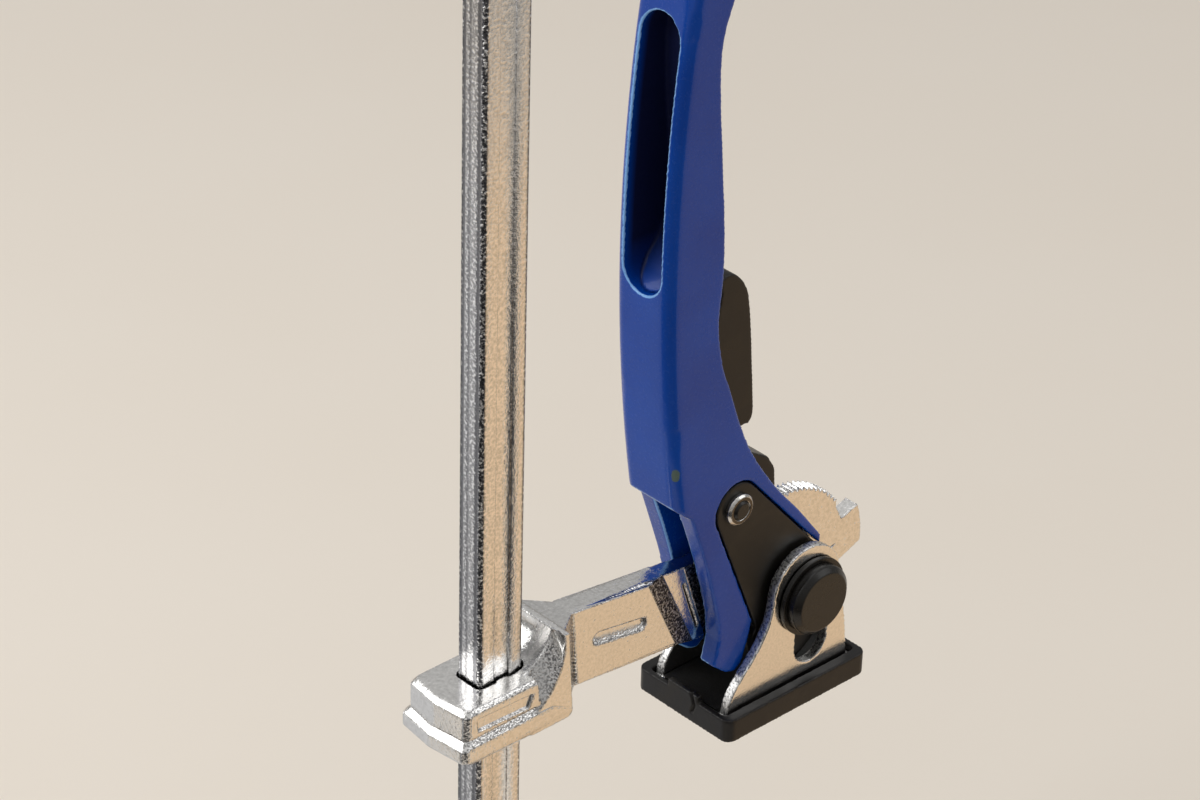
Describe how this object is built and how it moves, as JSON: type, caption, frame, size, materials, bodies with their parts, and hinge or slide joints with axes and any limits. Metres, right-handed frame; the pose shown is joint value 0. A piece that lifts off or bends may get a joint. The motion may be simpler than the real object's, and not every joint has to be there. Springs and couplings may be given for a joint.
{
  "type": "quick release bar clamp",
  "caption": "Bar clamp: a forged arm slides on a flat rail and carries a cranked ratchet lever, whose cams press a swivelling padded foot towards the padded fixed jaw.",
  "frame": {"origin": "centre of the fixed jaw's pressing face, which is the top of its plastic pad", "axes": "+Z along the rail from the fixed jaw towards the moving foot, +X away from the rail towards the open end of the throat, Y across the clamp, which is symmetric about Y = 0"},
  "size_m": [0.1046, 0.0264, 0.2498],
  "materials": {
    "rail_steel": "plated cold-drawn steel bar with a fine grain",
    "forging": "bright plated forging, lightly pitted",
    "strap_steel": "bright plated strip steel",
    "lever_paint": "glossy blue paint over a casting",
    "black_steel": "satin black coated steel",
    "bright_pin": "bright turned steel",
    "spring_steel": "drawn spring wire",
    "black_plastic": "satin black moulded plastic"
  },
  "bodies": {
    "frame": {"rail": "rail_steel", "rail_stop_pin": "black_steel", "fixed_jaw": "forging", "fixed_jaw_pins": "black_steel", "fixed_jaw_pad": "black_plastic"},
    "arm": {"sliding_arm": "forging", "pivot_pin": "black_steel", "pivot_pin_cap": "black_steel"},
    "lever": {"lever": "lever_paint", "cam_plate_near": "black_steel", "cam_plate_far": "black_steel", "trigger_pin": "black_steel", "trigger_collar_near": "bright_pin", "trigger_collar_far": "bright_pin", "trigger_spring": "spring_steel"},
    "trigger": {"release_trigger": "black_steel"},
    "swivel": {"pin_washer_near": "black_steel", "pin_washer_far": "black_steel"},
    "foot": {"foot_bracket": "strap_steel", "thrust_plate": "black_steel", "foot_pad": "black_plastic"}
  },
  "joints": [
    {"name": "arm_slide", "type": "slide", "parent": "frame", "child": "arm", "axis": [0, 0, 1], "range_m": [-0.046, 0.11]},
    {"name": "lever_hinge", "type": "hinge", "parent": "arm", "child": "lever", "pos_m": [0.0042, 0, 0.0721], "axis": [0, 1, 0], "range_deg": [-10, 75]},
    {"name": "trigger_hinge", "type": "hinge", "parent": "lever", "child": "trigger", "pos_m": [-0.01285, 0, 0.0964], "axis": [0, 1, 0], "range_deg": [-8, 0], "stiffness_Nm_per_rad": 0.67, "springref_deg": 5.73, "deforming": ["trigger_spring"]},
    {"name": "foot_swivel", "type": "hinge", "parent": "arm", "child": "swivel", "pos_m": [0.0042, 0, 0.0721], "axis": [0, 1, 0], "range_deg": [-8, 8]},
    {"name": "foot_press", "type": "slide", "parent": "swivel", "child": "foot", "axis": [0, 0, 1], "range_m": [-0.0011, 0.0077]}
  ],
  "couplings": [
    {"joint": "foot_press", "follows": "lever_hinge", "m_per_rad": 0.00573}
  ]
}
